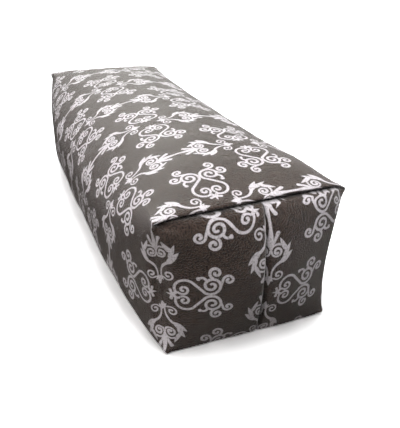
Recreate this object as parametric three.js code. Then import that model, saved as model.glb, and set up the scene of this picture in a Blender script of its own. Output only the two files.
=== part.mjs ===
// A mini bolster: a filled cloth block with squared, sewn ends and a crowned, rounded middle.
// Millimetres, +Z up. The origin is on the surface it rests on, under its middle; its length runs along Y.
import * as THREE from 'three';

// Driving dimensions
const endWidth = 150;            // across a squared end, at its top seam
const endHeight = 118;           // from the bottom seam of an end to its top seam
const seamLength = 454;          // between the seams of the two ends
const crownRise = 14;            // how much higher the filled length stands than the ends
const sideSwell = 18;            // how far each side swells out at mid-length
const bottomNarrowing = 10;      // how much narrower an end is at its bottom seam
const endCrown = 14;             // how far the middle of an end face swells out
const topEar = 3;                // how far the upper corners point out
const bottomCornerLift = { left: 1, right: 3.5 };  // how far the lower corners are rounded up
const bottomEar = 4;             // how far they point out along the length
const foldRadius = 9;            // the soft upright folds at the ends
const foldDrawIn = 3;            // how far these folds pull in between the corners
const seamDip = 3.2;             // depth of the boxing seams below the cloth beside them
const seamRoll = 2.6;            // how far the cloth rolls out over a boxing seam
const centreDip = 2.4;           // depth of the upright seam between the two halves of an end face
const centreShift = { top: 6, bottom: 8.5 };  // how far that seam lies to one side of the middle
const shiftReach = 40;           // how far over the top panel the cloth follows it
const flatDepth = 2.4;           // how much of the underside is pressed flat

// How far the filling has settled at the front: where it begins and over how much it grows, as shares
// of the half length
const shoulderSag = { depth: 6, begin: 0.1, grow: 0.75 };    // at the left shoulder
const frontSag = { depth: 3, begin: 0.72, grow: 0.28 };      // and all along the seam

// How round the section is, from 0 for a sharp rectangle to 0.5 for an ellipse
const sectionRoundness = {
  top: { middle: 0.47, end: 0.062 },
  bottom: { middle: 0.28, end: 0.062 },
};
const crownPower = 5.5;          // how late the crown falls off towards the ends
const swellPower = 3.9;          // how late the side swell falls off towards the ends
const squaringPower = 3.9;       // how late the section turns square towards the ends
const seamReach = 4;             // how wide a seam's dip is
const rollReach = 7;             // how far from a seam the roll is highest
const bottomRollShare = 0.35;    // the bottom seams are pressed flatter than the top ones

// Grid lines, as distances in mm from the middle of each direction, for the half that is then mirrored
const acrossLines = [0, 3, 9, 18, 29, 40, 50, 59, 65, 70, 75];
const upLines = [0, 13, 26, 37, 46, 52, 56, 59];
const alongLines = [0, 22, 44, 66, 87, 107, 126, 143, 158, 171, 182, 191.5, 199.5, 206.5, 212.5, 217.5, 221.5, 224.5, 227];

const half = { x: endWidth / 2, y: seamLength / 2, z: endHeight / 2 };

function mirrored(lines, halfSize) {
  const shares = lines.map((line) => line / halfSize);
  const lower = shares.slice(1).reverse().map((share) => -share);
  return [...lower, ...shares];
}

const bell = (distance, width) => Math.exp(-((distance / width) ** 2));
const roll = (distance) => (distance / rollReach) * Math.exp(1 - distance / rollReach);
const blend = (from, to, share) => from + (to - from) * share;
const ease = (share) => THREE.MathUtils.smoothstep(share, 0, 1);

// Where the point (p, q, r) of a block that reaches from -1 to 1 each way lies on the filled cover
function coverPoint(p, q, r) {
  const towardsEnd = Math.abs(q);
  const crown = 1 - towardsEnd ** crownPower;
  const swell = 1 - towardsEnd ** swellPower;
  const square = towardsEnd ** squaringPower;
  const roundness = r > 0 ? sectionRoundness.top : sectionRoundness.bottom;
  const power = 1 / blend(roundness.middle, roundness.end, square);
  const reach = Math.max(Math.abs(p), Math.abs(r));
  const norm = (Math.abs(p) ** power + Math.abs(r) ** power) ** (1 / power);
  const inset = norm > 0 ? reach / norm : 1;
  const halfHeight = half.z + (flatDepth + crownRise * crown) / 2;
  const narrowing = (bottomNarrowing / 2) * ((1 - r) / 2) * square;
  const point = new THREE.Vector3(
    p * inset * (half.x + sideSwell * swell - narrowing),
    q * half.y,
    (1 + r * inset) * halfHeight,
  );
  roundUprightFolds(point, p, q, r);
  crownEndFace(point, p, q, r);
  sinkSeams(point, p, q, r);
  pullCorners(point, p, q, r);
  shiftCentre(point, p, q, r);
  point.z = Math.max(point.z - flatDepth - sag(p, q, r), 0);
  return point;
}

// The top lies lower towards the front, and most at its left shoulder
function sag(p, q, r) {
  const settled = ({ depth, begin, grow }) => depth * ease((-q - begin) / grow);
  const down = settled(shoulderSag) * ((1 - p) / 2) ** 1.6 + settled(frontSag);
  return down * ((1 + r) / 2) ** 1.5;
}

// The side cloth turns onto the end face on a soft fold, which tightens to the corners
function roundUprightFolds(point, p, q, r) {
  const radius = foldRadius * (1 - r * r) ** 0.7;
  if (radius < 0.01) {
    return;
  }
  const limit = half.x - (bottomNarrowing / 2) * ((1 - r) / 2);
  const out = { x: Math.abs(point.x) - (limit - radius), y: Math.abs(point.y) - (half.y - radius) };
  if (out.x <= 0 || out.y <= 0) {
    return;
  }
  const share = Math.abs(q) === 1 ? out.x / radius : 2 - out.y / radius;
  const angle = Math.min(Math.max(share, 0), 2) * (Math.PI / 4);
  point.x = Math.sign(p) * (limit - radius + radius * Math.sin(angle));
  point.y = Math.sign(q) * (half.y - radius + radius * Math.cos(angle));
}

function crownEndFace(point, p, q, r) {
  const nearEnd = bell((1 - Math.abs(q)) * half.y, foldRadius);
  const upright = 1 - r * r;
  point.y += Math.sign(q) * endCrown * (1 - p * p) * upright * (Math.abs(q) === 1 ? 1 : 0);
  point.x -= Math.sign(p) * foldDrawIn * Math.abs(p) ** 4 * upright * nearEnd;
}

// The boxing seams lie in a dip that the cloth on both sides rolls over; the centre seam is a shallow crease
function sinkSeams(point, p, q, r) {
  const across = Math.min(1, 6 * (1 - Math.abs(p)) + 0.25);
  const onEndFace = Math.abs(q) === 1;
  const onPanel = Math.abs(r) === 1;
  if (onEndFace || onPanel) {
    const distance = onEndFace ? (1 - Math.abs(r)) * half.z : (1 - Math.abs(q)) * half.y;
    const pressed = r < 0 ? bottomRollShare : 1;
    const out = (seamRoll * roll(distance) - seamDip * bell(distance, seamReach)) * across * pressed;
    point.y += Math.sign(q) * out * Math.SQRT1_2;
    point.z += Math.sign(r) * out * Math.SQRT1_2;
  }
  if (onEndFace) {
    const sewn = bell(p * half.x, 2.5) + 0.6 * bell(p * half.x, 11);
    point.y -= Math.sign(q) * centreDip * sewn * (1 - r ** 8);
  }
}

// The lines between the corners move with the centre seam, which the closing seam of the underside continues
function shiftCentre(point, p, q, r) {
  const reached = r < 0 || Math.abs(q) === 1 ? 1 : bell((1 - Math.abs(q)) * half.y, shiftReach);
  point.x += blend(centreShift.bottom, centreShift.top, (1 + r) / 2) * (1 - p * p) * reached;
}

// The upper corners stand out as small ears, the lower ones point along the length and lift a little
function pullCorners(point, p, q, r) {
  const corner = (Math.abs(p) * Math.abs(q) * Math.abs(r)) ** 12;
  if (r > 0) {
    point.x += Math.sign(p) * topEar * corner;
    point.y += Math.sign(q) * topEar * corner;
    point.z += (topEar / 2) * corner;
  } else {
    const lift = p < 0 ? bottomCornerLift.left : bottomCornerLift.right;
    point.y += Math.sign(q) * bottomEar * corner;
    point.z += lift * Math.abs(p) ** 3 * Math.abs(q * r) ** 12;
  }
}

// The closed surface: six gridded panels that share their edge vertices
function buildCover() {
  const lines = [
    mirrored(acrossLines, half.x),
    mirrored(alongLines, half.y),
    mirrored(upLines, half.z),
  ];
  const last = lines.map((list) => list.length - 1);
  const positions = [];
  const triangles = [];
  const known = new Map();

  function vertex(cell) {
    const key = cell.join(' ');
    if (!known.has(key)) {
      known.set(key, positions.length / 3);
      const [p, q, r] = cell.map((step, axis) => lines[axis][step]);
      positions.push(...coverPoint(p, q, r).toArray());
    }
    return known.get(key);
  }

  for (const axis of [0, 1, 2]) {
    const [first, second] = [(axis + 1) % 3, (axis + 2) % 3];
    for (const side of [0, last[axis]]) {
      for (let i = 0; i < last[first]; i += 1) {
        for (let j = 0; j < last[second]; j += 1) {
          const corners = [[i, j], [i + 1, j], [i + 1, j + 1], [i, j + 1]].map(([a, b]) => {
            const cell = [0, 0, 0];
            cell[axis] = side;
            cell[first] = a;
            cell[second] = b;
            return vertex(cell);
          });
          const [a, b, c, d] = side === 0 ? corners.reverse() : corners;
          triangles.push(a, b, c, a, c, d);
        }
      }
    }
  }
  const geometry = new THREE.BufferGeometry();
  geometry.setAttribute('position', new THREE.Float32BufferAttribute(positions, 3));
  geometry.setIndex(triangles);
  geometry.computeVertexNormals();
  return geometry;
}

const printedCotton = new THREE.MeshStandardMaterial({ color: 0x7d7468, roughness: 0.82, metalness: 0 });

const cover = new THREE.Mesh(buildCover(), printedCotton);
cover.name = 'bolster';

const miniBolster = new THREE.Group();
miniBolster.add(cover);

export default miniBolster;
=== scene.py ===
import math

import bpy
from mathutils import Matrix, Vector, noise


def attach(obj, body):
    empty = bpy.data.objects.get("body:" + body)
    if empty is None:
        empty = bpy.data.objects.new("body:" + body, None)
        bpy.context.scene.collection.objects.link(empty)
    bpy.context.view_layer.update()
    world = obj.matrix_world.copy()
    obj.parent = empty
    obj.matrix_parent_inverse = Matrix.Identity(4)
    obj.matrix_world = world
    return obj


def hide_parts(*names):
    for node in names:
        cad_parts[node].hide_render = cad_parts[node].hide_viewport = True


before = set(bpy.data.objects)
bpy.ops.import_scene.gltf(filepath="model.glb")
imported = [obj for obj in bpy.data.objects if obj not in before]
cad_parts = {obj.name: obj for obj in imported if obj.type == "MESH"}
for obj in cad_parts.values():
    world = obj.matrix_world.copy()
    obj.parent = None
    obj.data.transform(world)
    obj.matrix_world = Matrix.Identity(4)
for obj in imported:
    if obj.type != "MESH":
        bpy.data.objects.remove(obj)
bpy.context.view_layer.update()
scene = bpy.context.scene
print('frame loaded')


def deselectAll():
    for item in bpy.context.selected_objects:
        item.select_set(False)


def makeActive(item):
    deselectAll()
    item.select_set(True)
    bpy.context.view_layer.objects.active = item


# camera, as if held just above a table in front of the bolster
viewSettings = {
    'azimuth': -22.64,   # degrees round the bolster, 0 looks along it
    'elevation': 26.55,
    'roll': 1.02,
    'distance': 0.498,
    'lens': 44.17,
    'aim': (0.0090, -0.105, 0.045),
}


def addCamera():
    azimuth = math.radians(viewSettings['azimuth'])
    elevation = math.radians(viewSettings['elevation'])
    roll = math.radians(viewSettings['roll'])
    back = Vector((math.sin(azimuth) * math.cos(elevation),
                   -math.cos(azimuth) * math.cos(elevation),
                   math.sin(elevation)))
    right = Vector((0, 0, 1)).cross(back).normalized()
    up = back.cross(right)
    rolledRight = math.cos(roll) * right + math.sin(roll) * up
    rolledUp = back.cross(rolledRight)
    bpy.ops.object.camera_add()
    camera = bpy.context.object
    turn = Matrix((rolledRight, rolledUp, back)).transposed().to_4x4()
    place = Vector(viewSettings['aim']) + back * viewSettings['distance']
    camera.matrix_world = Matrix.Translation(place) @ turn
    camera.data.lens = viewSettings['lens']
    camera.data.clip_start = 0.01
    scene.camera = camera


addCamera()
print('camera placed')


# floor, lights and world: a white table top under a soft overhead lamp, with a bright wall behind
studioSettings = {
    'floorSize': 40.0,
    'floorTone': 0.12,         # as the bolster is lit by it
    'floorFinish': (0.9, 0.1),          # roughness and gloss
    'floorBurn': 3.9,          # added for the camera, as in a burnt-out white
    'distantGlow': 0.7,        # of the floor far from the bolster, for the camera
    'distantSpan': (0.35, 1.5),         # metres away where that begins and where it is full
    'wallWhite': 1.0,          # how bright the wall looks to the camera
    'frontLight': 0.04,        # of the room, on the camera's side
    'backLight': 0.6,          # and behind the bolster
    'backDirection': (0.1, 0.94, 0.3),
    'lamps': {
        # name: place, aim, size, power, colour
        'overhead soft box': ((0.05, 0.05, 1.5), (0.02, -0.05, 0), 0.8, 6, (1, 1, 1)),
    },
    'bolsterLamps': {          # these light the bolster and leave the floor alone
        'left card': ((-1.6, -0.35, 0.35), (0, -0.1, 0.06), 0.4, 14, (1, 0.94, 0.88)),
        'front card': ((0.4, -1.6, 0.5), (0, -0.2, 0.06), 0.4, 5, (1, 0.93, 0.87)),
        'front overhead': ((0.0, -0.5, 1.5), (0, -0.2, 0.1), 0.5, 30, (1, 0.99, 0.98)),
        'back soft box': ((0.5, 1.6, 1.0), (0, -0.1, 0.12), 0.8, 36, (0.97, 1, 0.93)),
    },
}


def addFloor():
    deselectAll()
    bpy.ops.mesh.primitive_plane_add(size=studioSettings['floorSize'])
    floor = bpy.context.object
    floor.name = 'floor'
    material = bpy.data.materials.new('pale floor')
    material.use_nodes = True
    nodes, links = material.node_tree.nodes, material.node_tree.links
    shader = nodes['Principled BSDF']
    tone = studioSettings['floorTone']
    roughness, gloss = studioSettings['floorFinish']
    shader.inputs['Base Color'].default_value = (tone, tone, tone, 1)
    shader.inputs['Roughness'].default_value = roughness
    shader.inputs['Specular IOR Level'].default_value = gloss
    burn = nodes.new('ShaderNodeBsdfDiffuse')
    glow = nodes.new('ShaderNodeEmission')
    rays = nodes.new('ShaderNodeLightPath')
    shade = nodes.new('ShaderNodeMapRange')
    shade.inputs['To Max'].default_value = studioSettings['floorBurn']
    place = nodes.new('ShaderNodeTexCoord')
    away = nodes.new('ShaderNodeVectorMath')
    away.operation = 'LENGTH'
    distant = nodes.new('ShaderNodeMapRange')
    distant.interpolation_type = 'SMOOTHSTEP'
    near, far = studioSettings['distantSpan']
    distant.inputs['From Min'].default_value = near
    distant.inputs['From Max'].default_value = far
    distant.inputs['To Max'].default_value = studioSettings['distantGlow']
    forCamera = nodes.new('ShaderNodeMath')
    forCamera.operation = 'MULTIPLY'
    links.new(place.outputs['Object'], away.inputs[0])
    links.new(away.outputs['Value'], distant.inputs['Value'])
    links.new(distant.outputs['Result'], forCamera.inputs[0])
    links.new(rays.outputs['Is Camera Ray'], forCamera.inputs[1])
    links.new(forCamera.outputs[0], glow.inputs['Strength'])
    links.new(rays.outputs['Is Camera Ray'], shade.inputs['Value'])
    links.new(shade.outputs['Result'], burn.inputs['Color'])
    burnt = nodes.new('ShaderNodeAddShader')
    whole = nodes.new('ShaderNodeAddShader')
    links.new(shader.outputs['BSDF'], burnt.inputs[0])
    links.new(burn.outputs['BSDF'], burnt.inputs[1])
    links.new(burnt.outputs['Shader'], whole.inputs[0])
    links.new(glow.outputs['Emission'], whole.inputs[1])
    links.new(whole.outputs['Shader'], nodes['Material Output'].inputs['Surface'])
    floor.data.materials.append(material)


def addLamps(lamps, lights=None):
    for name, (place, aim, size, power, colour) in lamps.items():
        bpy.ops.object.light_add(type='AREA', location=place)
        lamp = bpy.context.object
        lamp.name = name
        lamp.data.shape = 'DISK'
        lamp.data.size = size
        lamp.data.energy = power
        lamp.data.color = colour
        lamp.visible_camera = False
        direction = Vector(aim) - Vector(place)
        lamp.rotation_euler = direction.to_track_quat('-Z', 'Y').to_euler()
        if lights:
            lamp.light_linking.receiver_collection = lights


def setWorld():
    world = bpy.data.worlds.new('white studio')
    scene.world = world
    world.use_nodes = True
    nodes, links = world.node_tree.nodes, world.node_tree.links
    background = nodes['Background']
    background.inputs['Color'].default_value = (1, 1, 1, 1)
    room = nodes.new('ShaderNodeTexCoord')
    facing = nodes.new('ShaderNodeVectorMath')
    facing.operation = 'DOT_PRODUCT'
    facing.inputs[1].default_value = Vector(studioSettings['backDirection']).normalized()
    light = nodes.new('ShaderNodeMapRange')
    light.inputs['From Min'].default_value = -1
    light.inputs['To Min'].default_value = studioSettings['frontLight']
    light.inputs['To Max'].default_value = studioSettings['backLight']
    rays = nodes.new('ShaderNodeLightPath')
    seen = nodes.new('ShaderNodeMix')
    seen.inputs[3].default_value = studioSettings['wallWhite']
    links.new(room.outputs['Generated'], facing.inputs[0])
    links.new(facing.outputs['Value'], light.inputs['Value'])
    links.new(light.outputs['Result'], seen.inputs[2])
    links.new(rays.outputs['Is Camera Ray'], seen.inputs[0])
    links.new(seen.outputs[0], background.inputs['Strength'])
    scene.view_settings.view_transform = 'Standard'


addFloor()
addLamps(studioSettings['lamps'])
bolsterOnly = bpy.data.collections.new('lit by the bolster lamps')
addLamps(studioSettings['bolsterLamps'], bolsterOnly)
setWorld()
print('studio ready')


# the cover: one cut of cloth round the long way, closed by seams at both ends
coverSettings = {
    'endWidth': 0.150,         # metres, between the upper corners of an end
    'endHeight': 0.118,
    'seamLength': 0.454,       # from end seam to end seam
    'crownRise': 0.014,        # how much higher the filled length stands than its ends
    'sideSwell': 0.018,        # how far each side swells out at mid-length
    'bottomNarrowing': 0.010,  # how much narrower an end is at its bottom seam
    'endCrown': 0.014,         # how far the middle of an end swells out
    'topRoundness': (0.47, 0.062),      # of the section, in the middle and at an end
    'bottomRoundness': (0.28, 0.062),
    'crownPower': 5.5,         # how late the crown falls off towards the ends
    'sidePower': 3.9,          # the side swell
    'squaringPower': 3.9,      # and the roundness
    'flatDepth': 0.0024,       # how much of the underside is pressed flat
    'foldRadius': 0.009,       # of the soft upright folds at the ends
    'foldTaper': 0.7,          # how they tighten towards the corners
    'foldDrawIn': 0.003,       # how far they pull in between the corners
    'seamDip': 0.004,          # depth of the boxing seams
    'seamPull': 0.4,           # how much deeper they lie towards the left
    'seamReach': 0.0010,       # half width of their dip
    'dipLean': (1.1, 0.2),     # how far the dip goes along the bolster and down
    'seamRoll': (0.0008, 0.0055),       # height of the rolled lips beside them, on the panel and the end
    'rollReach': (0.004, 0.013),        # and their width
    'rollLean': 0.7,           # how far a lip goes both along the bolster and up
    'bottomRollShare': 0.35,   # the bottom seams are pressed flatter
    'cornerFade': (6, 0.25),   # how the seams' relief falls off at a corner, and what is left of it
    'paintedSeamShade': (0.0016, 0.0005),      # half width of the painted shade line in the boxing and upright seams
    'cornerTuck': 0.004,       # how far the left half of an end tucks in under its upper corner
    'tuckPlace': (0.010, 0.004),        # from the fold and from the seam
    'tuckSize': (0.012, 0.006),
    'shoulderSag': 0.006,      # how far the filling has settled at the front left shoulder
    'shoulderSpan': (0.10, 0.75),       # where that begins and grows, as shares of the half length
    'frontSag': 0.003,         # and how far all along the front seam
    'frontSpan': (0.72, 0.28),
    'sagPower': (1.6, 1.5),    # how it fades to the right and down
    'lipDrop': 0.0012,         # how far the top laps down over an end
    'lipReach': 0.005,         # how far in from the end that begins
    'centreDip': 0.0032,       # depth of the upright seam between the halves of an end
    'centreReach': (0.0014, 0.011),     # half width of its crease and of the hollow round it
    'centreHollow': 0.5,       # how deep the hollow is, against the crease
    'centreShift': (0.0078, 0.0047),    # how far the seam lies to one side, low and high
    'shiftReach': 0.040,       # how far over the top panel the cloth follows it
    'topEar': 0.003,           # how far the upper corners point out
    'earLean': (0.3, 0.9, 0.5),         # along the bolster, and up at the left and the right corners
    'bottomEar': 0.004,        # how far the lower corners point along the bolster
    'bottomCornerLift': (0.001, 0.0035),     # left, right
    'cornerPower': 12,         # how close to a corner the ears stay
    'uneven': (0.0012, 0.045),          # height and size of the filling's unevenness
    'meshStep': 0.0055,        # spacing of the mesh lines away from the seams
    'seamStep': 0.0006,        # and next to them
    'stepReach': 0.018,        # how far from a seam the spacing grows
}

half = Vector((coverSettings['endWidth'], coverSettings['seamLength'], coverSettings['endHeight'])) / 2
touching = 0.0001      # metres, within which a point counts as on the floor or in a seam


def bell(distance, width):
    return math.exp(-(distance / width) ** 2)


def ease(share):
    share = min(max(share, 0), 1)
    return share * share * (3 - 2 * share)


def growth(distance, span):
    # from 0 where the span begins to 1 at its end
    begin, length = span
    return ease((distance - begin) / length)


def between(lowHigh, r):
    # from the first value at the bottom of the cover to the second at its top
    low, high = lowHigh
    return low + (high - low) * (1 + r) / 2


def rollOver(distance, reach):
    # from 0 in a seam up to 1 at its reach, and slowly down again
    share = distance / reach
    return share * math.exp(1 - share)


def sag(p, q, r):
    # how far a point of the top has settled towards the front
    c = coverSettings
    shoulder, front = growth(-q, c['shoulderSpan']), growth(-q, c['frontSpan'])
    toRight, toFloor = c['sagPower']
    down = c['shoulderSag'] * shoulder * ((1 - p) / 2) ** toRight + c['frontSag'] * front
    return down * ((1 + r) / 2) ** toFloor


def lipDrop(q, r):
    # and how far it goes down with the lip of the top panel
    fromEnd = (1 - abs(q)) * half.y / coverSettings['lipReach']
    return coverSettings['lipDrop'] * ((1 + r) / 2) ** 3 * max(0, 1 - fromEnd) ** 2


def linesFromSeam(span):
    # distances from a seam, close together beside it and then wider
    fine, wide = coverSettings['seamStep'], coverSettings['meshStep']
    lines = [0.0]
    while lines[-1] < span:
        share = min(lines[-1] / coverSettings['stepReach'], 1)
        lines.append(lines[-1] + fine + (wide - fine) * share)
    return [line * span / lines[-1] for line in lines]


def meshLines(halfSize, seamInMiddle):
    if seamInMiddle:
        inner = linesFromSeam(halfSize / 2)
        upper = inner + [halfSize - line for line in reversed(inner[:-1])]
    else:
        upper = [halfSize - line for line in reversed(linesFromSeam(halfSize))]
        upper[0] = 0.0
    return [-line for line in reversed(upper[1:])] + upper


def turnFold(point, p, q, r):
    # the side turns onto the end on a soft fold, and the end swells out between its folds
    c = coverSettings
    sideX, sideY = math.copysign(1, p), math.copysign(1, q)
    onEnd = abs(q) == 1
    upright = 1 - r * r
    radius = c['foldRadius'] * upright ** c['foldTaper']
    if radius > 0:
        low = (1 - r) / 2
        limit = half.x - c['bottomNarrowing'] / 2 * low
        outX = abs(point.x) - (limit - radius)
        outY = abs(point.y) - (half.y - radius)
        if outX > 0 and outY > 0:
            share = outX / radius if onEnd else 2 - outY / radius
            angle = min(max(share, 0), 2) * math.pi / 4
            point.x = sideX * (limit - radius + radius * math.sin(angle))
            point.y = sideY * (half.y - radius + radius * math.cos(angle))
    if onEnd:
        point.y += sideY * c['endCrown'] * (1 - p * p) * upright
    nearEnd = bell((1 - abs(q)) * half.y, c['foldRadius'])
    point.x -= sideX * c['foldDrawIn'] * abs(p) ** 4 * upright * nearEnd


def sinkSeams(point, p, q, r):
    # every seam lies lower than the filled cloth beside it
    c = coverSettings
    sideY, sideZ = math.copysign(1, q), math.copysign(1, r)
    onEnd, onPanel = abs(q) == 1, abs(r) == 1
    if onEnd or onPanel:                              # the boxing seams, in a dip between two rolls
        fade, least = c['cornerFade']
        across = min(1, fade * (1 - abs(p)) + least)
        distance = (1 - abs(r)) * half.z if onEnd else (1 - abs(q)) * half.y
        pressed = c['bottomRollShare'] if r < 0 else 1
        dip = c['seamDip'] * (1 - c['seamPull'] * p)
        sunk = dip * bell(distance, c['seamReach'])
        rolled = c['rollLean'] * c['seamRoll'][onEnd] * rollOver(distance, c['rollReach'][onEnd])
        inwards, downwards = c['dipLean']
        point.y += sideY * (rolled - inwards * sunk) * across * pressed
        point.z += sideZ * (rolled - downwards * sunk) * across * pressed
    if onEnd and p < 0:
        (fromFold, fromSeam), (width, height) = c['tuckPlace'], c['tuckSize']
        tuck = bell((1 + p) * half.x - fromFold, width) * bell((1 - r) * half.z - fromSeam, height)
        point.y -= sideY * c['cornerTuck'] * tuck
    if onEnd:                                         # the upright seam in the middle of an end
        crease, hollow = c['centreReach']
        sewn = bell(p * half.x, crease) + c['centreHollow'] * bell(p * half.x, hollow)
        point.y -= sideY * c['centreDip'] * sewn * (1 - r ** 8)


def shiftCentre(point, p, q, r):
    # the lines between the corners move with the upright seam
    reached = 1
    if abs(q) < 1 and r >= 0:
        reached = bell((1 - abs(q)) * half.y, coverSettings['shiftReach'])
    point.x += between(coverSettings['centreShift'], r) * (1 - p * p) * reached


def pullCorners(point, p, q, r):
    # the upper corners stand out as small ears, the lower ones point along the length and lift a little
    c = coverSettings
    sideX, sideY = math.copysign(1, p), math.copysign(1, q)
    corner = (abs(p) * abs(q) * abs(r)) ** c['cornerPower']
    if r > 0:
        along, leftUp, rightUp = c['earLean']
        point += Vector((sideX, along * sideY, leftUp if p < 0 else rightUp)) * c['topEar'] * corner
    else:
        point.y += sideY * c['bottomEar'] * corner
        lift = c['bottomCornerLift'][p > 0]
        point.z += lift * abs(p) ** 3 * (abs(q) * abs(r)) ** c['cornerPower']


def coverPoint(p, q, r):
    # where a point of a block that reaches from -1 to 1 each way lies on the filled cover
    c = coverSettings
    towardsEnd = abs(q)
    crown = 1 - towardsEnd ** c['crownPower']
    swell = 1 - towardsEnd ** c['sidePower']
    square = towardsEnd ** c['squaringPower']
    middleRound, endRound = c['topRoundness'] if r > 0 else c['bottomRoundness']
    power = 1 / (middleRound + (endRound - middleRound) * square)
    norm = (abs(p) ** power + abs(r) ** power) ** (1 / power)
    inset = max(abs(p), abs(r)) / norm if norm > 0 else 1
    low = (1 - r) / 2
    halfWidth = half.x + c['sideSwell'] * swell - c['bottomNarrowing'] / 2 * low * square
    halfHeight = half.z + (c['flatDepth'] + c['crownRise'] * crown) / 2
    point = Vector((p * inset * halfWidth, q * half.y, (1 + r * inset) * halfHeight))
    turnFold(point, p, q, r)
    sinkSeams(point, p, q, r)
    shiftCentre(point, p, q, r)
    pullCorners(point, p, q, r)
    point.z = max(point.z - c['flatDepth'] - lipDrop(q, r) - sag(p, q, r), 0)
    return point


def addCoverBlock(lines):
    # a block of the cover's cut size, cut through at every mesh line
    deselectAll()
    bpy.ops.mesh.primitive_cube_add(size=2, scale=half)
    cover = bpy.context.object
    cover.name = 'cover'
    bpy.ops.object.transform_apply(location=False, rotation=False, scale=True)
    bpy.ops.object.mode_set(mode='EDIT')
    for axis in range(3):
        normal = Vector((0, 0, 0))
        normal[axis] = 1
        for line in lines[axis][1:-1]:
            bpy.ops.mesh.select_all(action='SELECT')
            bpy.ops.mesh.bisect(plane_co=normal * line, plane_no=normal)
    bpy.ops.object.mode_set(mode='OBJECT')
    return cover


def gridPlaces(cover, lines):
    # the mesh line numbers (across, along, up) of every vertex
    places = []
    for vertex in cover.data.vertices:
        place = []
        for axis in range(3):
            value = vertex.co[axis]
            place.append(min(range(len(lines[axis])), key=lambda n: abs(lines[axis][n] - value)))
        places.append(tuple(place))
    return places


def runLengths(points):
    total, lengths = 0.0, [0.0]
    for before, after in zip(points, points[1:]):
        total += (after - before).length
        lengths.append(total)
    return lengths


def measureRound(spot, last, middle):
    # the way round the bolster from the middle of its top to every mesh point
    girth = {}
    for j in range(last[1] + 1):
        ring = [(i, j, 0) for i in range(middle[0], -1, -1)]
        ring += [(0, j, k) for k in range(1, last[2] + 1)]
        ring += [(i, j, last[2]) for i in range(1, last[0] + 1)]
        ring += [(last[0], j, k) for k in range(last[2] - 1, -1, -1)]
        ring += [(i, j, 0) for i in range(last[0] - 1, middle[0] - 1, -1)]
        lengths = runLengths([spot[place] for place in ring])
        top = lengths[ring.index((middle[0], j, last[2]))]
        for place, length in zip(ring[1:-1], lengths[1:-1]):
            girth[place] = length - top
        girth[(middle[0], j, 0, 'left')] = lengths[0] - top
        girth[(middle[0], j, 0, 'right')] = lengths[-1] - top
    return girth


def measureAlong(spot, last, middle):
    # the way from mid-length, over the sides and round onto the ends, and over the panels
    along = {}
    for side, edge in (('left', 0), ('right', last[0])):
        step = 1 if side == 'left' else -1
        for k in range(last[2] + 1):
            row = [(i, 0, k) for i in range(middle[0], edge, -step)]
            row += [(edge, j, k) for j in range(last[1] + 1)]
            row += [(i, last[1], k) for i in range(edge + step, middle[0] + step, step)]
            lengths = runLengths([spot[place] for place in row])
            centre = lengths[row.index((edge, middle[1], k))]
            for place, length in zip(row, lengths):
                along[(side,) + place] = length - centre
    for k in (0, last[2]):
        for i in range(last[0] + 1):
            row = [(i, j, k) for j in range(last[1] + 1)]
            lengths = runLengths([spot[place] for place in row])
            for place, length in zip(row, lengths):
                along[('panel',) + place] = length - lengths[middle[1]]
    return along


# how the print lies on the filled cover, in metres where no note says otherwise
laySettings = {
    'topSkew': -0.0015,        # of the print on the top, round the bolster towards the front
    'skewFade': 0.3,           # how it fades to the right
    'topBack': 0.003,          # how far the print lies back along the bolster at the left shoulder
    'topSpan': (0.6, 0.35),    # where both begin and grow, as shares of the half length
    'leftScale': (0.955, 0.895),        # of the print across the left half of an end, low and high
    'leftDroop': 0.12,         # how it sinks from the left fold to the middle, low down
    'leftBack': 0.003,         # how far it comes round the left fold there
    'backSpan': (0.7, 0.3),    # where that begins and grows, as shares too
    'rightScale': (1.07, 0.88),
    'rightDrop': (0.0075, 0.005),       # how far it is pulled down on the right, low and high
    'rightPull': (0.0065, 0.0107),      # and round the fold
    'pullSpan': (0.07, 0.12),  # where these begin and grow along the side, from mid-length
    'pullFade': 0.05,          # how far below the top seam it is full
    'pullReach': 0.025,        # and how far onto an end
}


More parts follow.
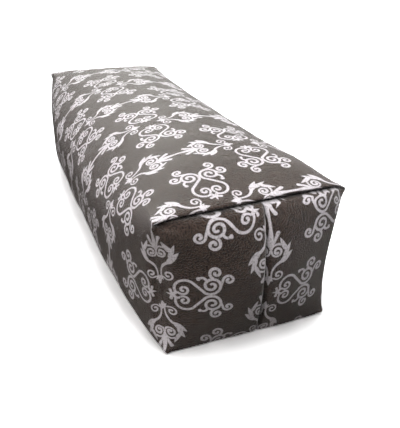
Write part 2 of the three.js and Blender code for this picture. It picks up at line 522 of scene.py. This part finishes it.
def layPrintMap(cover, places, lines):
    # a map in metres of cut cloth: u runs round the bolster from the middle of its top, v along it
    s = laySettings
    last = [len(each) - 1 for each in lines]
    middle = [n // 2 for n in last]
    spot = {place: cover.data.vertices[number].co for number, place in enumerate(places)}
    girth, along = measureRound(spot, last, middle), measureAlong(spot, last, middle)
    layer = cover.data.uv_layers.new(name='cutCloth')
    for face in cover.data.polygons:
        corners = [places[number] for number in face.vertices]
        onEnd = all(place[1] == 0 for place in corners) or all(place[1] == last[1] for place in corners)
        flat = all(place[2] == 0 for place in corners) or all(place[2] == last[2] for place in corners)
        side = 'left' if sum(place[0] for place in corners) < len(corners) * middle[0] else 'right'
        edge = 0 if side == 'left' else last[0]
        for loop, place in zip(face.loop_indices, corners):
            y = lines[1][place[1]]
            p, q, r = lines[0][place[0]] / half.x, y / half.y, lines[2][place[2]] / half.z
            pulled = growth(abs(y), s['pullSpan']) * ease((1 - r) * half.z / s['pullFade'])
            if onEnd:
                foldPlace = along[(side, edge, place[1], place[2])]
                across = along[(side,) + place] - foldPlace
                u = girth[(edge, place[1], place[2])]
                if side == 'left':
                    u += s['leftDroop'] * (1 - ease(r)) * abs(across)
                v = foldPlace + across * between(s[side + 'Scale'], r)
                pulled += (1 - pulled) * ease(abs(across) / s['pullReach'])
            else:
                v = along[(('panel' if flat else side),) + place]
                onClosing = place[0] == middle[0] and place[2] == 0
                u = girth[place + (side,)] if onClosing else girth[place]
            edgeSide = -1 if side == 'left' else 1    # the print follows the settled top
            u += edgeSide * (sag(edgeSide, q, 1) - sag(edgeSide, q, r))
            front = growth(-q, s['topSpan'])
            v -= s['topBack'] * front * (1 - p) / 2 * ((1 + r) / 2) ** 2
            if side == 'left':
                u += s['topSkew'] * front
                v += s['leftBack'] * growth(-q, s['backSpan']) * (1 - ease(r))
            elif flat and r > 0:
                u += s['topSkew'] * front * (1 - p) ** s['skewFade']
            if side == 'right' and not flat:
                u -= between(s['rightDrop'], r) * pulled
                v += math.copysign(between(s['rightPull'], r), y) * pulled
            layer.data[loop].uv = (u, v)


def markSeams(cover, places, lines):
    # how deep in a seam's fold each point lies, as painted shade that darkens the cloth there, and the
    # points that the seams and the floor hold
    last = [len(each) - 1 for each in lines]
    paintedShades, heldPoints = [], []
    for number, (i, j, k) in enumerate(places):
        x, y, z = lines[0][i], lines[1][j], lines[2][k]
        onEnd, onPanel = j in (0, last[1]), k in (0, last[2])
        boxing, upright = half.x, half.x          # distances to both kinds of seam, if none is near
        if onEnd:
            boxing, upright = half.z - abs(z), abs(x)
        if onPanel:
            boxing = min(boxing, half.y - abs(y))
        if k == 0 and not onEnd:
            upright = abs(x)
        wide, thin = coverSettings['paintedSeamShade']
        wide *= 1 - coverSettings['seamPull'] * x / half.x
        paintedShades.append(max(bell(boxing, wide), bell(upright, thin)))
        onFloor = k == 0 and cover.data.vertices[number].co.z < touching
        if min(boxing, upright) < touching or onFloor:
            heldPoints.append(number)
    held = cover.vertex_groups.new(name='held')
    held.add(list(range(len(places))), puffSettings['filling'], 'REPLACE')
    held.add(heldPoints, 1, 'REPLACE')
    # the painted seam shade is kept on the cover for the cloth's colour
    layer = cover.data.attributes.new('paintedSeamShade', 'FLOAT', 'POINT')
    layer.data.foreach_set('value', paintedShades)
    return held


puffSettings = {
    'pressure': 4,
    'frames': 20,
    'quality': 6,
    'furthest': 0.004,         # metres that a point may move
    'slack': 0.012,            # extra cloth, which wrinkles beside the seams
    'mass': 0.3,
    'stiffness': 15,
    'shear': 5,
    'bending': 0.15,
    'filling': 0.6,            # how strongly the filling holds the cloth to its shape, away from seams
}


def puffCover(cover, held):
    start = [vertex.co.copy() for vertex in cover.data.vertices]
    makeActive(cover)
    puff = cover.modifiers.new('puff', 'CLOTH')
    puff.settings.quality = puffSettings['quality']
    puff.settings.mass = puffSettings['mass']
    puff.settings.tension_stiffness = puffSettings['stiffness']
    puff.settings.compression_stiffness = puffSettings['stiffness']
    puff.settings.shear_stiffness = puffSettings['shear']
    puff.settings.bending_stiffness = puffSettings['bending']
    puff.settings.shrink_min = -puffSettings['slack']
    puff.settings.use_pressure = True
    puff.settings.uniform_pressure_force = puffSettings['pressure']
    puff.settings.effector_weights.gravity = 0
    puff.settings.vertex_group_mass = held.name
    puff.settings.pin_stiffness = 1
    puff.collision_settings.use_collision = False
    puff.point_cache.frame_start = 1
    puff.point_cache.frame_end = puffSettings['frames']
    for frameNumber in range(1, puffSettings['frames'] + 1):
        scene.frame_set(frameNumber)
    bpy.ops.object.modifier_apply(modifier=puff.name)
    scene.frame_set(1)
    furthest = puffSettings['furthest']
    moves = []
    for vertex, place in zip(cover.data.vertices, start):
        move = vertex.co - place
        moves.append(move.length)
        if move.length > furthest:
            move *= furthest / move.length
        vertex.co = place + move
        vertex.co.z = max(vertex.co.z, 0)
    print('cover puffed by', round(sum(moves) / len(moves) * 1000, 2), 'mm on average and',
          round(max(moves) * 1000, 1), 'at most before the cap')


def addCover():
    lines = [meshLines(half.x, True), meshLines(half.y, False), meshLines(half.z, False)]
    cover = addCoverBlock(lines)
    places = gridPlaces(cover, lines)
    for vertex, (i, j, k) in zip(cover.data.vertices, places):
        vertex.co = coverPoint(lines[0][i] / half.x, lines[1][j] / half.y, lines[2][k] / half.z)
    layPrintMap(cover, places, lines)
    uneven, size = coverSettings['uneven']
    outwards = [vertex.normal.copy() for vertex in cover.data.vertices]
    for vertex, normal in zip(cover.data.vertices, outwards):
        if vertex.co.z > touching:
            vertex.co += normal * uneven * noise.noise(vertex.co / size)
    held = markSeams(cover, places, lines)
    print('cover cut and shaped,', len(cover.data.polygons), 'faces')
    puffCover(cover, held)
    makeActive(cover)
    finer = cover.modifiers.new('finer', 'SUBSURF')
    finer.levels = finer.render_levels = 1
    bpy.ops.object.modifier_apply(modifier=finer.name)
    bpy.ops.object.shade_smooth()
    return cover


cover = addCover()
bolsterOnly.objects.link(cover)


# tools for node groups

def newGroup(name, inputs, outputs):
    tree = bpy.data.node_groups.new(name, 'ShaderNodeTree')
    for label, kind, value in inputs:
        socket = tree.interface.new_socket(label, in_out='INPUT', socket_type='NodeSocket' + kind)
        socket.default_value = value
    for label, kind in outputs:
        tree.interface.new_socket(label, in_out='OUTPUT', socket_type='NodeSocket' + kind)
    return tree, tree.nodes.new('NodeGroupInput').outputs


def feed(tree, socket, value):
    if isinstance(value, bpy.types.NodeSocket):
        tree.links.new(value, socket)
    else:
        socket.default_value = value


def calc(tree, operation, *values):
    node = tree.nodes.new('ShaderNodeMath')
    node.operation = operation
    for socket, value in zip(node.inputs, values):
        feed(tree, socket, value)
    return node.outputs[0]


def vectorCalc(tree, operation, *values):
    node = tree.nodes.new('ShaderNodeVectorMath')
    node.operation = operation
    sockets = [socket for socket in node.inputs if socket.enabled]
    for socket, value in zip(sockets, values):
        feed(tree, socket, value)
    isNumber = operation in ('LENGTH', 'DISTANCE', 'DOT_PRODUCT')
    return node.outputs['Value' if isNumber else 'Vector']


def split(tree, vector):
    node = tree.nodes.new('ShaderNodeSeparateXYZ')
    feed(tree, node.inputs[0], vector)
    return node.outputs[0], node.outputs[1]


def join(tree, x, y):
    node = tree.nodes.new('ShaderNodeCombineXYZ')
    feed(tree, node.inputs[0], x)
    feed(tree, node.inputs[1], y)
    return node.outputs[0]


def finishGroup(tree, *values):
    output = tree.nodes.new('NodeGroupOutput')
    for socket, value in zip(output.inputs, values):
        feed(tree, socket, value)
    return tree


def placeGroup(tree, group, **values):
    node = tree.nodes.new('ShaderNodeGroup')
    node.node_tree = group
    for label, value in values.items():
        feed(tree, node.inputs[label], value)
    return node


farAway = 9.0      # a distance, in the chart's millimetres, that no stroke is drawn at


strokeInputs = [
    ('Point', 'Vector', (0, 0, 0)), ('Centre', 'Vector', (0, 0, 0)),
    ('Start', 'Float', 0), ('Turn', 'Float', 1), ('Radius', 'Float', 1), ('EndRadius', 'Float', 1),
    ('Width', 'Float', 1), ('EndWidth', 'Float', 1),
]
lineInputs = [
    ('Point', 'Vector', (0, 0, 0)), ('From', 'Vector', (0, 0, 0)), ('Along', 'Vector', (1, 0, 0)),
    ('Width', 'Float', 1),
]


def polarStart(tree, given):
    # distance from the stroke's centre, and the angle travelled from its start in its own direction
    local = vectorCalc(tree, 'SUBTRACT', given['Point'], given['Centre'])
    reach = vectorCalc(tree, 'LENGTH', local)
    x, y = split(tree, local)
    way = calc(tree, 'SIGN', given['Turn'])
    travelled = calc(tree, 'SUBTRACT', calc(tree, 'ARCTAN2', y, x), given['Start'])
    return local, reach, calc(tree, 'MULTIPLY', travelled, way)


def lineStart(tree, given):
    # where a point is from the foot of a straight stroke, and its share of the way along it
    square = vectorCalc(tree, 'DOT_PRODUCT', given['Along'], given['Along'])
    local = vectorCalc(tree, 'SUBTRACT', given['Point'], given['From'])
    return local, calc(tree, 'DIVIDE', vectorCalc(tree, 'DOT_PRODUCT', local, given['Along']), square)


def clip(tree, share):
    # held between the foot and the tip
    return calc(tree, 'MINIMUM', calc(tree, 'MAXIMUM', share, 0), 1)


def taper(tree, given, share):
    # half the stroke's width at this share of its way
    width = calc(tree, 'SUBTRACT', given['EndWidth'], given['Width'])
    return calc(tree, 'MULTIPLY_ADD', width, share, given['Width'])


def cutEnds(tree, away, share):
    # nothing is drawn before a stroke's start or past its end
    beyond = calc(tree, 'ABSOLUTE', calc(tree, 'SUBTRACT', share, 0.5))
    beyond = calc(tree, 'GREATER_THAN', beyond, 0.5)
    return calc(tree, 'MULTIPLY_ADD', beyond, farAway, away)


def roundStroke(tree, given, reach, radius, share):
    # distance from a stroke that runs at this radius round its centre
    away = calc(tree, 'ABSOLUTE', calc(tree, 'SUBTRACT', reach, radius))
    away = calc(tree, 'SUBTRACT', away, taper(tree, given, share))
    return cutEnds(tree, away, share)


def buildCurl():
    # a spiral stroke that ends in a ball
    tree, given = newGroup('curl stroke', strokeInputs, [('Distance', 'Float')])
    length = calc(tree, 'ABSOLUTE', given['Turn'])
    slope = calc(tree, 'DIVIDE', calc(tree, 'SUBTRACT', given['EndRadius'], given['Radius']), length)
    end = calc(tree, 'ADD', given['Start'], given['Turn'])
    ball = join(tree, calc(tree, 'MULTIPLY', calc(tree, 'COSINE', end), given['EndRadius']),
                calc(tree, 'MULTIPLY', calc(tree, 'SINE', end), given['EndRadius']))
    local, reach, travelled = polarStart(tree, given)
    wanted = calc(tree, 'DIVIDE', calc(tree, 'SUBTRACT', reach, given['Radius']), slope)
    turns = calc(tree, 'DIVIDE', calc(tree, 'SUBTRACT', wanted, travelled), math.tau)
    travelled = calc(tree, 'MULTIPLY_ADD', calc(tree, 'ROUND', turns), math.tau, travelled)
    radius = calc(tree, 'MULTIPLY_ADD', slope, travelled, given['Radius'])
    away = roundStroke(tree, given, reach, radius, calc(tree, 'DIVIDE', travelled, length))
    ballAway = calc(tree, 'SUBTRACT', vectorCalc(tree, 'DISTANCE', local, ball), given['EndWidth'])
    return finishGroup(tree, calc(tree, 'MINIMUM', away, ballAway))


def buildBow():
    # a stroke on less than a full turn of a circle
    tree, given = newGroup('bow stroke', strokeInputs, [('Distance', 'Float')])
    length = calc(tree, 'ABSOLUTE', given['Turn'])
    _, reach, travelled = polarStart(tree, given)
    fromMiddle = calc(tree, 'MULTIPLY_ADD', length, -0.5, travelled)
    fromMiddle = calc(tree, 'WRAP', fromMiddle, math.pi, -math.pi)
    share = calc(tree, 'ADD', calc(tree, 'DIVIDE', fromMiddle, length), 0.5)
    grown = calc(tree, 'SUBTRACT', given['EndRadius'], given['Radius'])
    radius = calc(tree, 'MULTIPLY_ADD', grown, share, given['Radius'])
    return finishGroup(tree, roundStroke(tree, given, reach, radius, share))


def buildBar():
    # a straight stroke with round ends; Along is its direction times its length
    inputs = lineInputs + [('EndWidth', 'Float', 1)]
    tree, given = newGroup('bar stroke', inputs, [('Distance', 'Float')])
    local, share = lineStart(tree, given)
    share = clip(tree, share)
    foot = vectorCalc(tree, 'MULTIPLY', given['Along'], join(tree, share, share))
    away = vectorCalc(tree, 'DISTANCE', local, foot)
    return finishGroup(tree, calc(tree, 'SUBTRACT', away, taper(tree, given, share)))


def buildPetal():
    # a leaf shape, round at its foot and pointed at its tip
    tree, given = newGroup('petal stroke', lineInputs, [('Distance', 'Float')])
    local, share = lineStart(tree, given)
    foot = vectorCalc(tree, 'MULTIPLY', given['Along'], join(tree, share, share))
    inside = clip(tree, share)
    swell = calc(tree, 'POWER', inside, printSettings['petalPower'])
    shape = calc(tree, 'MULTIPLY', swell, calc(tree, 'SUBTRACT', 1, inside))
    shape = calc(tree, 'MULTIPLY', shape, given['Width'])
    away = calc(tree, 'SUBTRACT', vectorCalc(tree, 'DISTANCE', local, foot), shape)
    return finishGroup(tree, cutEnds(tree, away, share))


# the scroll print, charted in millimetres from a crossing of the repeat: x away from the
# column of leaves, y along it. Each motif is half drawn and mirrored.
printSettings = {
    'chartStep': 82.5,         # the chart's distance between columns, and its repeat along a column
    'chartRepeat': 119.0,
    'columnStep': 75.5,        # the same on the cloth, in millimetres
    'columnRepeat': 113.0,
    'alongShift': -226.0,      # where a column lies, from the middle of the bolster's length
    'roundShift': -31.0,       # where a crossing lies on it, from the middle of the top
    'edge': 0.3,               # softness of the ink's edge
    'spread': 0.12,            # how far the ink runs past the drawn strokes
    'dividerSlope': 0.74,      # of the line that a motif is mirrored across, between two crossings
    'petalPower': 0.55,        # how soon a petal is at its widest
    # centre x, y, start angle, turn, radius, end radius, half width, end half width
    'curls': {
        'leaf stem curl': (7.6, 17, 225, 420, 4.4, 1, 0.5, 0.8),
        'leaf inner curl': (5.2, 37.6, 165, 480, 4.6, 1.2, 0.55, 1.1),
        'cross big curl': (37, 8.5, 225, 590, 8, 1.5, 0.95, 1),
        'cross inner curl': (17, 5, 205, 400, 4.5, 1, 0.8, 0.9),
        'cross far curl': (49.5, 12.5, 190, -420, 4.5, 1, 0.85, 1),
        'cross top curl': (40.5, 19, 250, -430, 5, 1, 0.95, 1),
    },
    'bows': {
        'leaf stem': (14, 17.5, 192, -82, 12.3, 12.3, 0.5, 1.2),
        'leaf arch': (5.2, 37.6, 162, -104, 5.3, 6.2, 0.45, 0.8),
        'leaf body': (5.2, 37.6, 60, -112, 6.8, 9.4, 0.9, 1.6),
        'cross loop': (18.5, 6, 210, -165, 7.5, 7.5, 0.85, 0.95),
        'cross tail': (30.5, 12.5, 140, -150, 3, 3, 0.8, 0.9),
    },
    # from x, y, to x, y, half width, end half width
    'bars': {
        'leaf stem curl foot': (0.5, 15.3, 5, 13.8, 0.5, 0.5),
        'spray side': (0.8, 41.5, 5.8, 52, 0.6, 1.5),
        'spray spine': (0, 40, 0, 59, 1, 1.1),
        'cross link': (24, 11, 31.5, 3, 0.95, 0.95),
        'cross fleur arm': (9, 0, 8, 4, 0.65, 1.05),
        'cross fleur body': (9, 0, 12, 2.5, 1.2, 1.1),
        'cross far branch': (43, 6, 45, 12, 0.95, 0.85),
        'cross tail end': (28, 14.5, 28, 15, 1.25, 1.25),
    },
    # from x, y, to x, y, width
    'petals': {
        'bud tip': (0, 16.5, 0, 8, 5.5),
        'bud hook': (0, 15.5, 3.8, 11.5, 3),
        'leaf wing': (8.5, 28, 18.3, 36.6, 6.2),
        'leaf tooth one': (11, 32, 16.3, 43.5, 4.8),
        'leaf tooth two': (12.5, 38, 7.6, 48.2, 4.4),
        'spray middle': (0, 38.5, 0, 60.5, 5.6),
        'fleur tip': (11, 0, 4.5, 0, 2.2),
    },
}


def drawStroke(tree, nearest, name, group, **values):
    # the distance from the print's strokes, with one more of them
    node = placeGroup(tree, group, **values)
    node.label = name
    return calc(tree, 'MINIMUM', node.outputs['Distance'], nearest)


def buildScrollPrint():
    s = printSettings
    tree, given = newGroup('scroll print', [('Cloth', 'Vector', (0, 0, 0))], [('Ink', 'Float')])
    u, v = split(tree, given['Cloth'])
    step, repeat = s['chartStep'], s['chartRepeat'] / 2
    x = calc(tree, 'MULTIPLY_ADD', v, step / s['columnStep'], -s['alongShift'] * step / s['columnStep'])
    y = calc(tree, 'MULTIPLY_ADD', u, s['chartRepeat'] / s['columnRepeat'],
             -s['roundShift'] * s['chartRepeat'] / s['columnRepeat'])
    x = calc(tree, 'PINGPONG', x, step)
    y = calc(tree, 'PINGPONG', y, repeat)
    other = calc(tree, 'MULTIPLY_ADD', calc(tree, 'SUBTRACT', x, step / 2), s['dividerSlope'], y)
    other = calc(tree, 'GREATER_THAN', other, repeat / 2)
    x = calc(tree, 'MULTIPLY_ADD', other, calc(tree, 'MULTIPLY_ADD', x, -2, step), x)
    y = calc(tree, 'MULTIPLY_ADD', other, calc(tree, 'MULTIPLY_ADD', y, -2, repeat), y)
    point = join(tree, x, y)
    nearest = farAway
    for group, rows in ((buildCurl(), s['curls']), (buildBow(), s['bows'])):
        for name, (centreX, centreY, start, turn, radius, endRadius, width, endWidth) in rows.items():
            nearest = drawStroke(tree, nearest, name, group, Point=point, Centre=(centreX, centreY, 0),
                                 Start=math.radians(start), Turn=math.radians(turn), Radius=radius,
                                 EndRadius=endRadius, Width=width, EndWidth=endWidth)
    bar = buildBar()
    for name, (x1, y1, x2, y2, width, endWidth) in s['bars'].items():
        nearest = drawStroke(tree, nearest, name, bar, Point=point, From=(x1, y1, 0),
                             Along=(x2 - x1, y2 - y1, 0), Width=width, EndWidth=endWidth)
    petal = buildPetal()
    for name, (x1, y1, x2, y2, width) in s['petals'].items():
        nearest = drawStroke(tree, nearest, name, petal, Point=point, From=(x1, y1, 0),
                             Along=(x2 - x1, y2 - y1, 0), Width=width)
    ink = tree.nodes.new('ShaderNodeMapRange')
    ink.interpolation_type = 'SMOOTHSTEP'
    feed(tree, ink.inputs['Value'], nearest)
    ink.inputs['From Min'].default_value = s['spread'] - s['edge']
    ink.inputs['From Max'].default_value = s['spread'] + s['edge']
    ink.inputs['To Min'].default_value = 1
    ink.inputs['To Max'].default_value = 0
    return finishGroup(tree, ink.outputs['Result'])


clothSettings = {
    'ground': (0.001, 0.0006, 0.0005),
    'groundWorn': (0.072, 0.047, 0.037),
    'ink': (0.63, 0.60, 0.64),
    'inkThin': (0.38, 0.355, 0.37),     # where the print is thin on a raised thread
    'roughness': (0.5, 0.66),
    'gloss': 0.16,
    'sheen': 0.38,
    'sheenRoughness': 0.3,
    'paintedSeamDarkening': 0.95,          # how much the painted shade darkens the cloth right inside a seam
    'wobble': (45, 3),         # size and depth of the print's unsteadiness, here and below in millimetres
    'thread': 0.55,            # from thread to thread
    'slub': (1.0, 7.0),        # width and length of the thicker stretches of a thread
    'speckle': 1.25,           # size of the fine speckle
    'patch': 18,               # and of the worn patches
    'contrast': (0.44, 0.56),  # the noise values at which slub and speckle begin and are full
    'wear': (0.4, 0.25, 0.4),  # how much of slub, patches and speckle is in the worn ground
    'threadDepth': 0.00018,    # metres
    'slubDepth': 4.0,          # against that of the threads
    'speckleDepth': 1.9,
}


def buildWeave():
    # plain weave: Height goes up on the thread that lies on top
    tree, given = newGroup('plain weave', [('Cloth', 'Vector', (0, 0, 0)), ('Thread', 'Float', 1)],
                           [('Height', 'Float')])
    u, v = split(tree, given['Cloth'])
    a = calc(tree, 'DIVIDE', u, given['Thread'])
    b = calc(tree, 'DIVIDE', v, given['Thread'])
    over = calc(tree, 'ADD', calc(tree, 'FLOOR', a), calc(tree, 'FLOOR', b))
    over = calc(tree, 'PINGPONG', over, 1)
    warp = calc(tree, 'ABSOLUTE', calc(tree, 'SINE', calc(tree, 'MULTIPLY', a, math.pi)))
    weft = calc(tree, 'ABSOLUTE', calc(tree, 'SINE', calc(tree, 'MULTIPLY', b, math.pi)))
    difference = calc(tree, 'SUBTRACT', weft, warp)
    return finishGroup(tree, calc(tree, 'MULTIPLY_ADD', difference, over, warp))


def addNoise(tree, vector, size, detail=2):
    node = tree.nodes.new('ShaderNodeTexNoise')
    feed(tree, node.inputs['Vector'], vector)
    node.inputs['Scale'].default_value = 1 / size
    node.inputs['Detail'].default_value = detail
    return node


def mixColours(tree, share, first, second):
    node = tree.nodes.new('ShaderNodeMix')
    node.data_type = 'RGBA'
    factor, a, b = [socket for socket in node.inputs if socket.enabled]
    feed(tree, factor, share)
    feed(tree, a, (*first, 1) if isinstance(first, tuple) else first)
    feed(tree, b, (*second, 1) if isinstance(second, tuple) else second)
    return [socket for socket in node.outputs if socket.enabled][0]


def buildSlub():
    # thicker stretches of the threads both ways: Height goes up along them
    tree, given = newGroup('slub yarn', [('Cloth', 'Vector', (0, 0, 0))], [('Height', 'Float')])
    width, length = clothSettings['slub']
    across = vectorCalc(tree, 'DIVIDE', given['Cloth'], (length, width, 1))
    along = vectorCalc(tree, 'DIVIDE', given['Cloth'], (width, length, 1))
    first = addNoise(tree, across, 1, 3)
    second = addNoise(tree, along, 1, 3)
    return finishGroup(tree, calc(tree, 'MULTIPLY_ADD', first.outputs['Fac'], 0.5,
                                  calc(tree, 'MULTIPLY', second.outputs['Fac'], 0.5)))


def remap(tree, value, low, high, toLow=0, toHigh=1):
    node = tree.nodes.new('ShaderNodeMapRange')
    for socket, number in zip(node.inputs, (value, low, high, toLow, toHigh)):
        feed(tree, socket, number)
    return node.outputs['Result']


def makePrintedCotton():
    c = clothSettings
    material = bpy.data.materials.new('printed cotton')
    material.use_nodes = True
    tree = material.node_tree
    shader = tree.nodes['Principled BSDF']
    clothMap = tree.nodes.new('ShaderNodeUVMap')
    clothMap.uv_map = 'cutCloth'
    cloth = vectorCalc(tree, 'MULTIPLY', clothMap.outputs['UV'], (1000, 1000, 0))     # in millimetres
    size, depth = c['wobble']
    wobble = vectorCalc(tree, 'SUBTRACT', addNoise(tree, cloth, size).outputs['Color'], (0.5, 0.5, 0.5))
    wobble = vectorCalc(tree, 'MULTIPLY', wobble, (depth, depth, 0))
    printed = placeGroup(tree, buildScrollPrint(), Cloth=vectorCalc(tree, 'ADD', cloth, wobble))
    weave = placeGroup(tree, buildWeave(), Cloth=cloth, Thread=c['thread'])
    slub = placeGroup(tree, buildSlub(), Cloth=cloth)
    thick = remap(tree, slub.outputs['Height'], *c['contrast'])
    speckle = remap(tree, addNoise(tree, cloth, c['speckle']).outputs['Fac'], *c['contrast'])
    patches = addNoise(tree, cloth, c['patch'], 4).outputs['Fac']
    ofSlub, ofPatches, ofSpeckle = c['wear']
    worn = calc(tree, 'MULTIPLY_ADD', thick, ofSlub, calc(tree, 'MULTIPLY', patches, ofPatches))
    worn = calc(tree, 'MULTIPLY_ADD', speckle, ofSpeckle, worn)
    ground = mixColours(tree, worn, c['ground'], c['groundWorn'])
    thin = calc(tree, 'MULTIPLY', speckle, calc(tree, 'SUBTRACT', 1, thick))
    ink = mixColours(tree, thin, c['ink'], c['inkThin'])
    colour = mixColours(tree, printed.outputs['Ink'], ground, ink)
    # painted shade: the cloth's colour is darkened inside the seams, where the folds' own shade is not
    # deep enough
    seam = tree.nodes.new('ShaderNodeAttribute')
    seam.attribute_name = 'paintedSeamShade'
    shade = calc(tree, 'MULTIPLY_ADD', seam.outputs['Fac'], -c['paintedSeamDarkening'], 1)
    colour = vectorCalc(tree, 'SCALE', colour, shade)
    feed(tree, shader.inputs['Base Color'], colour)
    feed(tree, shader.inputs['Roughness'], remap(tree, thick, 0, 1, *c['roughness']))
    shader.inputs['Specular IOR Level'].default_value = c['gloss']
    shader.inputs['Sheen Weight'].default_value = c['sheen']
    shader.inputs['Sheen Roughness'].default_value = c['sheenRoughness']
    bump = tree.nodes.new('ShaderNodeBump')
    bump.inputs['Distance'].default_value = c['threadDepth']
    threads = calc(tree, 'MULTIPLY_ADD', slub.outputs['Height'], c['slubDepth'], weave.outputs['Height'])
    threads = calc(tree, 'MULTIPLY_ADD', speckle, c['speckleDepth'], threads)
    feed(tree, bump.inputs['Height'], threads)
    feed(tree, shader.inputs['Normal'], bump.outputs['Normal'])
    return material


cover.data.materials.append(makePrintedCotton())
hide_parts('bolster')
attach(cover, 'root')
print('cloth finished')
